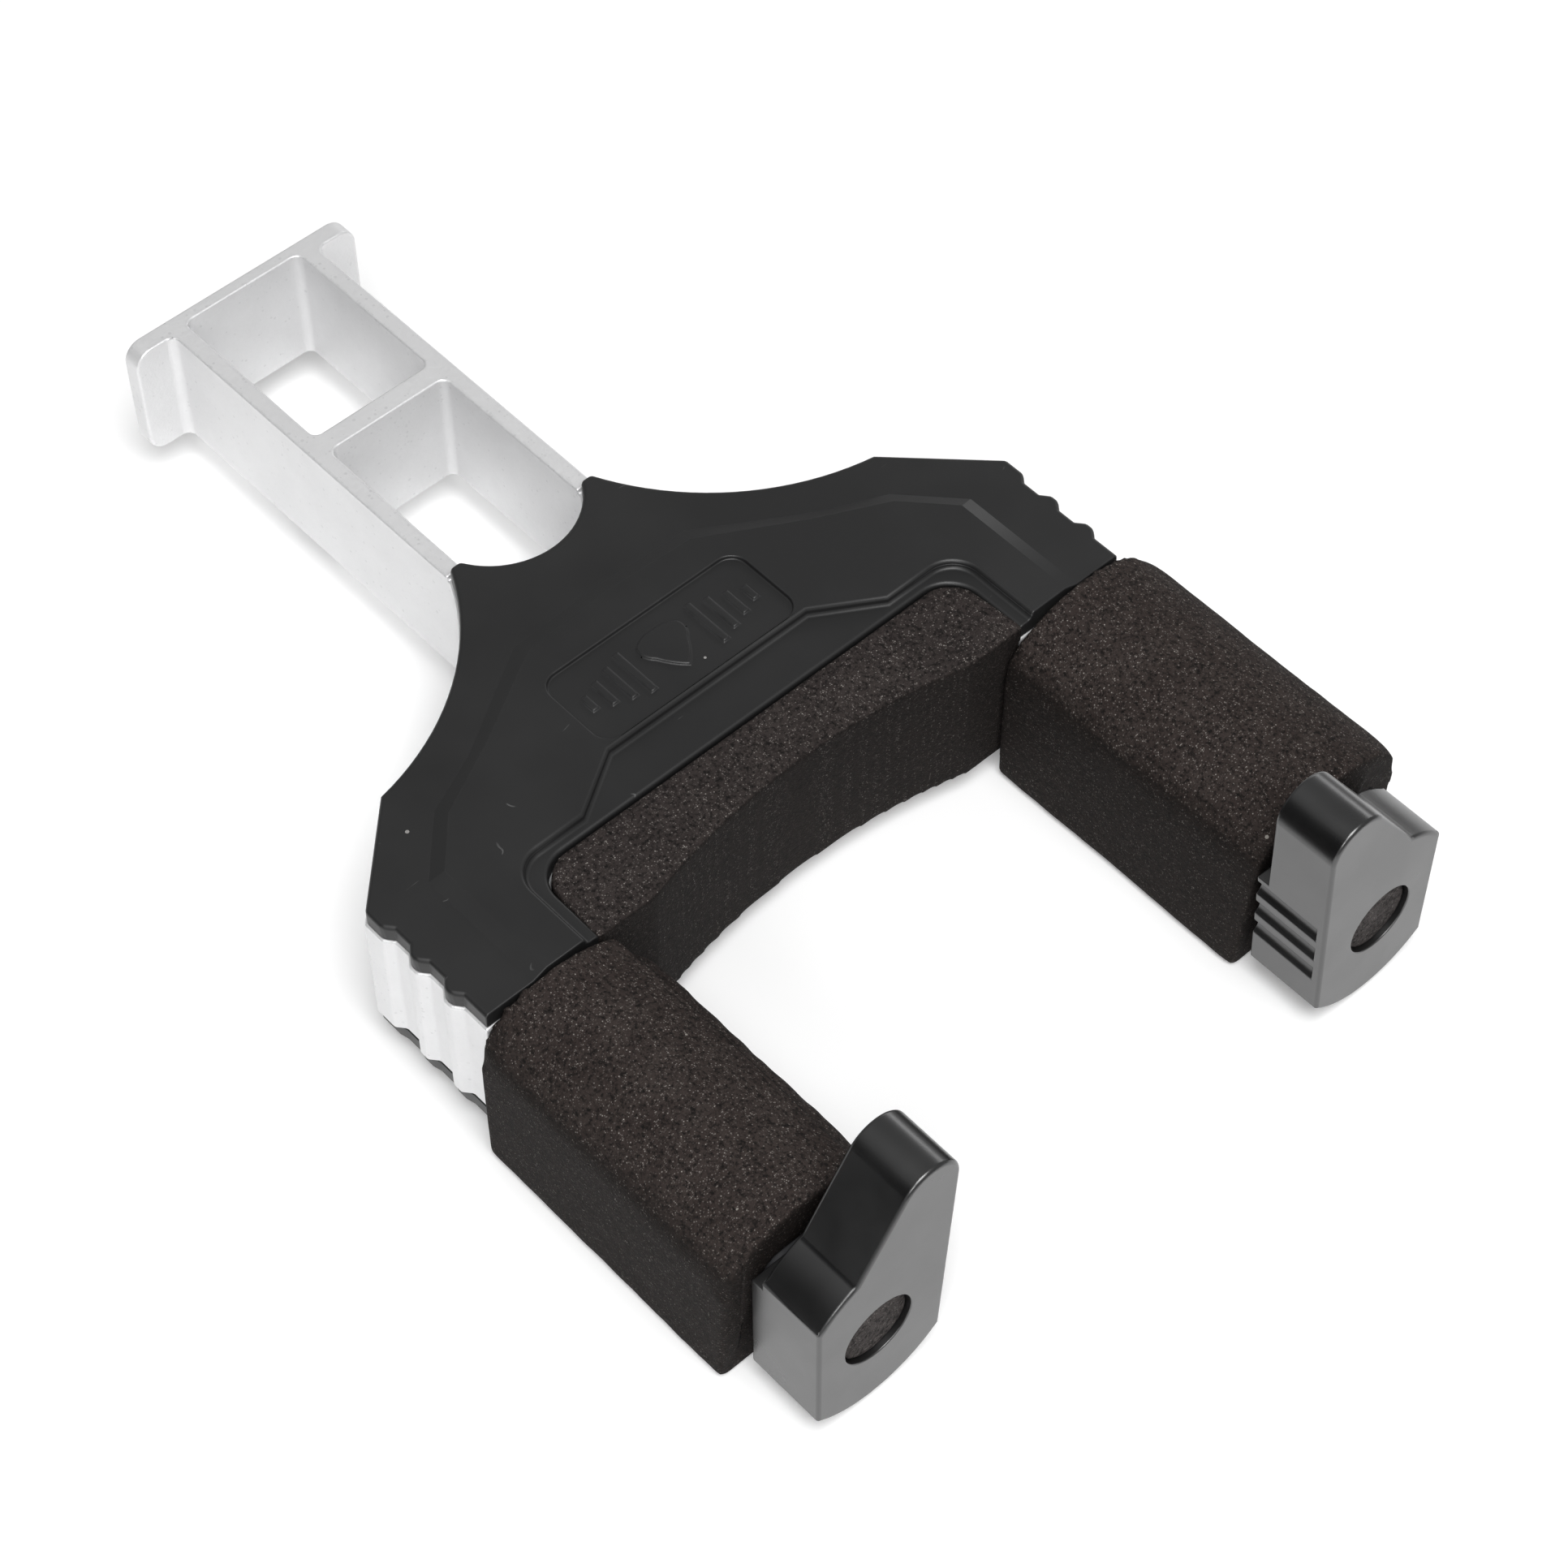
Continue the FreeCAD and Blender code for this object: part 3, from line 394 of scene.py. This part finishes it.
def moulded_inside(name, colour, roughness):
    """Plain moulded plastic of a hidden piece, with its own grain and flow patches."""
    material, net, shader, place = start_material(name)
    grain = net.use(skin_grain, {"Vector": place, "Scale": 2800.0, "Patch Scale": 160.0}).outputs
    dust = net.use(dust_specks, {"Vector": place, "Scale": 500.0, "Rarity": 0.94, "Size": 0.12}).outputs
    lighter = tuple(min(1.0, 1.25 * c + 0.004) for c in colour[:3]) + (1.0,)
    dust_grey = (0.4, 0.4, 0.38, 1.0)
    skin = net.mix(grain["Patches"], colour, lighter)
    net.plug(shader["Base Color"], net.mix(dust["Mask"], skin, dust_grey))
    net.plug(shader["Roughness"], net.between(grain["Height"], 0.3, 0.7, roughness, roughness + 0.1))
    net.plug(shader["Normal"], net.bump(grain["Height"], 0.02 * mm, 0.35))
    return material


def pale_floor():
    """Matte white board with a faint mottle and a little light of its own."""
    material, net, shader, place = start_material("pale_floor")
    mottle = net.noise(place, 3.0, 2.0, 0.5)
    net.plug(shader["Base Color"], net.mix(mottle, (0.93, 0.93, 0.93, 1.0), (0.95, 0.95, 0.95, 1.0)))
    shader["Roughness"].default_value = 0.9
    shader["Emission Color"].default_value = (1.0, 1.0, 1.0, 1.0)
    shader["Emission Strength"].default_value = 0.12
    return material


aluminium = cast_aluminium()
cover_black = moulded_cover()
cap_black = satin_cap()
# The sleeves and pad get painted shade on their upright sides, the plug none; all three get painted glints
# and painted pit shade
sleeve_foam = cut_foam("cut_foam_sleeve", dark=(0.028, 0.0205, 0.0185, 1.0), light=(0.04, 0.031, 0.028, 1.0),
                       cell_scale=4600.0, rarity=0.5, side_shade=0.72)
pad_foam = cut_foam("cut_foam_pad", dark=(0.026, 0.0205, 0.0195, 1.0), light=(0.037, 0.03, 0.028, 1.0),
                    cell_scale=4600.0, rarity=0.5, side_shade=0.72)
plug_foam = cut_foam("cut_foam_plug", dark=(0.034, 0.029, 0.028, 1.0), light=(0.06, 0.052, 0.05, 1.0),
                     cell_scale=4800.0, rarity=0.45, side_shade=0.0)
core_plastic = moulded_inside("core_moulding", (0.028, 0.028, 0.03, 1.0), 0.4)
natural_nylon = moulded_inside("natural_nylon", (0.72, 0.7, 0.64, 1.0), 0.42)
zinc_steel = machined_steel("zinc_plated_steel", (0.62, 0.62, 0.63, 1.0), 0.3, 3600.0)
spring_wire = machined_steel("spring_wire", (0.5, 0.49, 0.48, 1.0), 0.34, 5200.0)
black_steel = machined_steel("blackened_steel", (0.05, 0.05, 0.052, 1.0), 0.4, 4200.0)


# ------------------------------------------------------------------- meshes

def merged_copy(node):
    """The node's shape as a bmesh of whole faces, for rounding."""
    shape = bmesh.new()
    shape.from_mesh(frame["nodes"][node].data)
    bmesh.ops.remove_doubles(shape, verts=shape.verts, dist=0.002 * mm)
    bmesh.ops.dissolve_limit(shape, angle_limit=math.radians(1.0), verts=shape.verts, edges=shape.edges)
    return shape


def edge_turn(edge):
    """The angle between an edge's two faces."""
    return edge.calc_face_angle(0.0)


def sharp_edges(shape):
    """The edges whose two faces turn sharply from each other."""
    return [e for e in shape.edges if edge_turn(e) > sharp_turn]


def middle_of(edge):
    return (edge.verts[0].co + edge.verts[1].co) / 2.0


def round_edges(shape, edges, width, segments):
    """Give these edges a round of this width."""
    bmesh.ops.bevel(shape, geom=edges, offset=width, offset_type="OFFSET", affect="EDGES",
                    segments=segments, profile=0.5, material=-1, clamp_overlap=False, loop_slide=True)


def make_piece(shape, name, material, body, slot_name, *nodes, flat_faces=True):
    """Turn a bmesh into a piece that rides on a body and stands for its CAD nodes."""
    mesh = bpy.data.meshes.new(name)
    shape.to_mesh(mesh)
    shape.free()
    mesh.materials.append(material)
    mesh.shade_smooth()
    piece = bpy.data.objects.new(name, mesh)
    bpy.context.scene.collection.objects.link(piece)
    if flat_faces:
        weighted = piece.modifiers.new("even_faces", "WEIGHTED_NORMAL")
        weighted.keep_sharp = True
        weighted.weight = 80
    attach(piece, body)
    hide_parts(*nodes)
    return piece


def rounded_casting():
    """The casting, with the soft edges that bead blasting leaves."""
    shape = merged_copy("yoke_casting")
    round_edges(shape, sharp_edges(shape), casting_round, 3)
    make_piece(shape, "cast_yoke", aluminium, "yoke", "cast_aluminium", "yoke_casting")


def rounded_top_cover():
    """The top cover with its moulded edges: a crisp plateau, round rims and a fine emblem."""
    shape = merged_copy("top_cover")
    cover_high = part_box("top_cover")[1]
    emblem_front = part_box("throat_pad")[0][0] - emblem_from_pad
    emblem_rear = emblem_front - emblem_long

    def in_the_emblem(edge):
        point = middle_of(edge)
        along = emblem_rear < point.x < emblem_front
        return along and abs(point.y) < emblem_half and point.z > cover_high[2] - emblem_below_top

    def on_a_rim(edge):
        point = middle_of(edge)
        return point.z > cover_high[2] - rim_below_top and point.x < cover_high[0] - rim_behind_front

    for edge in shape.edges:
        edge.smooth = not least_slope_turn < edge_turn(edge) < most_slope_turn
    fine = [e for e in sharp_edges(shape) if in_the_emblem(e)]
    round_edges(shape, fine, emblem_round, 2)
    rims = [e for e in sharp_edges(shape) if on_a_rim(e) and not in_the_emblem(e)]
    round_edges(shape, rims, rim_round, 4)
    rest = [e for e in sharp_edges(shape) if not in_the_emblem(e)]
    round_edges(shape, rest, cover_round, 2)
    make_piece(shape, "top_shell", cover_black, "yoke", "black_cover", "top_cover")


def rounded_bottom_cover():
    """The bottom cover, with fine round edges everywhere."""
    shape = merged_copy("bottom_cover")
    round_edges(shape, sharp_edges(shape), cover_round, 3)
    make_piece(shape, "bottom_shell", cover_black, "yoke", "black_cover", "bottom_cover")


def rounded_cap(side):
    """A gate cap: broad rounds on its finger, fine ones down by the grip grooves."""
    shape = merged_copy(side + "_gate_cap")
    upper = [e for e in sharp_edges(shape) if middle_of(e).z > above_grooves]
    round_edges(shape, upper, cap_round, 3)
    round_edges(shape, sharp_edges(shape), groove_round, 2)
    make_piece(shape, side + "_cap_shell", cap_black, side + "_gate", "cap_plastic", side + "_gate_cap")


def even_skin(shape, voxel):
    """The same solid under an even skin of small faces, with every edge a little rounded."""
    mesh = bpy.data.meshes.new("blank")
    shape.to_mesh(mesh)
    shape.free()
    blank = bpy.data.objects.new("blank", mesh)
    bpy.context.scene.collection.objects.link(blank)
    remesh = blank.modifiers.new("even_skin", "REMESH")
    remesh.mode = "VOXEL"
    remesh.voxel_size = voxel
    skin = bmesh.new()
    skin.from_object(blank, bpy.context.evaluated_depsgraph_get())
    bpy.data.objects.remove(blank)
    return skin


def soften_near(shape, near, rounds, ends_too=True):
    """Relax the skin where near(point) is true, as a worn or moulded foam corner is."""
    chosen = [v for v in shape.verts if near(v.co)]
    for _ in range(rounds):
        bmesh.ops.smooth_vert(shape, verts=chosen, factor=0.5, use_axis_x=ends_too, use_axis_y=True,
                              use_axis_z=True)


def roughen(shape, seed, keep_still):
    """Stand the cut skin up and down by noise: long swells and shallow tears."""
    shape.normal_update()
    offset = Vector((seed, 2.7 * seed, -1.3 * seed))
    moves = []
    for vert in shape.verts:
        if keep_still(vert.co):
            continue
        swell = noise.noise(vert.co / foam_swell_length + offset) * foam_swell
        tear = noise.noise(vert.co / foam_tear_length + offset) * foam_tear
        calm = 1.0 - foam_end_calm * abs(vert.normal.x)
        moves.append((vert, vert.normal * (swell + tear) * calm))
    for vert, move in moves:
        vert.co += move


def foam_sleeve(side):
    """A sleeve of thick foam round its core, pulled a little to one side."""
    sign = -1.0 if side == "left" else 1.0
    inner_shift, outer_shift = sleeve_shifts[side]
    low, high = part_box(side + "_foam_sleeve")
    shape = merged_copy(side + "_foam_sleeve")
    for vert in shape.verts:
        if vert.co.x < low[0] + end_face_depth:
            vert.co.x -= foam_rear_reach
        elif vert.co.z > axis_z and vert.co.x > high[0] - end_face_depth:
            vert.co.x += foam_front_reach
    shape = even_skin(shape, foam_voxel)

    def out_and_up(point):
        return sign * point.y - prong_y, point.z - axis_z

    def by_shoulder(point):
        out, up = out_and_up(point)
        inner = math.hypot(out + foam_inner, up - foam_inner_shoulder)
        outer = math.hypot(out - foam_outer, up - foam_outer_shoulder)
        return min(inner, outer) < foam_shoulder_round

    def in_the_bore(point):
        out, up = out_and_up(point)
        return max(abs(out), abs(up)) < core_flange

    soften_near(shape, by_shoulder, shoulder_relaxings, ends_too=False)
    soften_near(shape, lambda point: not in_the_bore(point), skin_relaxings)
    roughen(shape, foam_seeds[side], in_the_bore)
    for vert in shape.verts:
        by_the_rear = 1.0 - (vert.co.x - low[0]) / foam_lip_length
        out, up = out_and_up(vert.co)
        if by_the_rear > 0.0 and up > foam_outer_shoulder and out > foam_lip_from:
            torn = noise.noise(vert.co / foam_lip_grain + foam_lip_offset)
            vert.co.x -= max(0.0, torn) * min(1.0, by_the_rear) * foam_lip
    for vert in shape.verts:
        out, up = out_and_up(vert.co)
        skin = min(1.0, max(0.0, (max(abs(out), abs(up)) - core_flange) / (foam_inner - core_flange)))
        across = min(1.0, max(0.0, (out + foam_inner) / (foam_inner + foam_outer)))
        vert.co.y += skin * (inner_shift + (outer_shift - inner_shift) * across)
    piece = make_piece(shape, side + "_foam", sleeve_foam, side + "_gate", "foam", side + "_foam_sleeve",
                       flat_faces=False)


def throat_cushion():
    """The foam pad in the throat, which spreads a little past its cover at the two ends."""
    shape = even_skin(merged_copy("throat_pad"), foam_voxel)
    soften_near(shape, lambda point: True, skin_relaxings)
    roughen(shape, foam_seeds["pad"], lambda point: False)
    low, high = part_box("throat_pad")
    for vert in shape.verts:
        by_the_end = 1.0 - (high[1] - abs(vert.co.y)) / pad_end_length
        past_the_cover = (vert.co.x - low[0]) / (high[0] - low[0])
        if by_the_end > 0.0:
            vert.co.y += math.copysign(pad_end_reach * by_the_end * past_the_cover, vert.co.y)
    piece = make_piece(shape, "throat_foam", pad_foam, "yoke", "foam", "throat_pad", flat_faces=False)


def plug_disc(side):
    """A punched foam disc that hides the gate screw, slightly crowned by its press fit."""
    low, high = (Vector(corner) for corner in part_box(side + "_end_plug"))
    middle = (low + high) / 2.0
    radius = (high.y - low.y) / 2.0
    thickness = high.x - low.x
    shape = bmesh.new()
    bmesh.ops.create_cone(shape, cap_ends=True, segments=64, radius1=radius, radius2=radius,
                          depth=thickness)
    same_height = 0.01 * mm
    rims = [e for e in shape.edges if abs(e.verts[0].co.z - e.verts[1].co.z) < same_height]
    round_edges(shape, rims, plug_rim_round, 3)
    side_corners = 8
    for ring in plug_rings:
        caps = [f for f in shape.faces if len(f.verts) > side_corners]
        bmesh.ops.inset_individual(shape, faces=caps, thickness=ring, use_even_offset=True)
    for vert in shape.verts:
        share = 1.0 - (vert.co.xy.length / radius) ** 2
        grain = noise.noise(vert.co / plug_grain_length) * plug_grain
        rise = math.copysign(plug_crown * share + grain, vert.co.z) - math.copysign(plug_crown, vert.co.z)
        vert.co.z += rise
    turn = Matrix.Rotation(math.radians(90.0), 4, "Y")
    bmesh.ops.transform(shape, matrix=Matrix.Translation(middle) @ turn, verts=shape.verts)
    piece = make_piece(shape, side + "_plug_foam", plug_foam, side + "_gate", "plug_foam",
                       side + "_end_plug", flat_faces=False)


rounded_casting()
rounded_top_cover()
rounded_bottom_cover()
throat_cushion()
for gate_side in ("left", "right"):
    rounded_cap(gate_side)
    foam_sleeve(gate_side)
    plug_disc(gate_side)


def dress_frame_nodes():
    """Give every CAD node that stays its finish."""
    finishes = {
        "cover_screws": black_steel, "throat_pad": pad_foam, "foam_sleeve": sleeve_foam,
        "end_plug": plug_foam, "spindle": zinc_steel, "lock_pin": spring_wire,
        "return_spring": spring_wire, "stop_pin": zinc_steel, "thrust_washer": natural_nylon,
        "sleeve_core": core_plastic, "screw_washer": zinc_steel, "gate_screw": zinc_steel,
        "yoke_casting": aluminium, "top_cover": cover_black, "bottom_cover": cover_black,
        "gate_cap": cap_black,
    }
    for name, node in frame["nodes"].items():
        kind = name.replace("left_", "").replace("right_", "")
        for slot in node.material_slots:
            slot.material = finishes[kind]


dress_frame_nodes()


# ------------------------------------------------------ floor, light, camera

def lay_floor():
    """A square of pale board just under the hanger."""
    shape = bmesh.new()
    bmesh.ops.create_grid(shape, x_segments=2, y_segments=2, size=floor_half)
    bmesh.ops.translate(shape, verts=shape.verts, vec=(middle_x, 0.0, cad_box[0][2] - floor_gap))
    mesh = bpy.data.meshes.new("floor")
    shape.to_mesh(mesh)
    shape.free()
    mesh.materials.append(pale_floor())
    floor = bpy.data.objects.new("floor", mesh)
    bpy.context.scene.collection.objects.link(floor)


def hang_softbox(name, towards, distance, width, height, watts):
    """A soft area light that looks at the hanger from one direction."""
    data = bpy.data.lights.new(name, "AREA")
    data.shape = "RECTANGLE"
    data.size = width
    data.size_y = height
    data.energy = watts
    light = bpy.data.objects.new(name, data)
    way = Vector(towards).normalized()
    light.location = Vector((middle_x, 0.0, 0.0)) + way * distance
    light.rotation_euler = way.to_track_quat("Z", "Y").to_euler()
    bpy.context.scene.collection.objects.link(light)


def light_the_room():
    """An even grey room with one dark patch low at the left, and three soft boxes.

    The camera sees the room as plain white.
    """
    dark_towards = (-0.42, -0.88, 0.2)
    patch_edge, patch_core = 0.8, 0.93
    room_grey, patch_grey = (0.32, 0.32, 0.32, 1.0), (0.003, 0.003, 0.003, 1.0)
    world = bpy.data.worlds.new("room")
    world.use_nodes = True
    net = Net(world.node_tree)
    background = world.node_tree.nodes["Background"].inputs
    way = net.add("TexCoord").outputs["Generated"]
    dark_side = net.add("VectorMath", {"operation": "DOT_PRODUCT"}, {0: way, 1: dark_towards})
    unlit = net.between(dark_side.outputs["Value"], patch_edge, patch_core)
    dome = net.mix(unlit, room_grey, patch_grey)
    seen = net.add("LightPath").outputs["Is Camera Ray"]
    net.plug(background["Color"], net.mix(seen, dome, (1.0, 1.0, 1.0, 1.0)))
    background["Strength"].default_value = 1.0
    bpy.context.scene.world = world
    hang_softbox("overhead", towards=(0.38, -0.18, 0.9), distance=1.2, width=0.7, height=0.7, watts=12.5)
    hang_softbox("front_left", towards=(0.5, -0.6, 0.5), distance=1.0, width=0.3, height=0.2, watts=1.7)
    hang_softbox("back_right", towards=(-0.4, 0.86, 0.32), distance=1.0, width=0.6, height=0.18, watts=1.0)


def place_camera():
    """A long lens that looks down at the hanger from beyond its left prong."""
    data = bpy.data.cameras.new("camera")
    data.sensor_width = 36.0
    data.lens = camera_lens
    data.clip_start = 0.01
    camera = bpy.data.objects.new("camera", data)
    level = (camera_place - camera_aim).to_track_quat("Z", "Y").to_matrix().to_4x4()
    camera.matrix_world = Matrix.Translation(camera_place) @ level @ Matrix.Rotation(camera_roll, 4, "Z")
    bpy.context.scene.collection.objects.link(camera)
    bpy.context.scene.camera = camera


lay_floor()
light_the_room()
place_camera()
bpy.context.scene.view_settings.view_transform = "Standard"
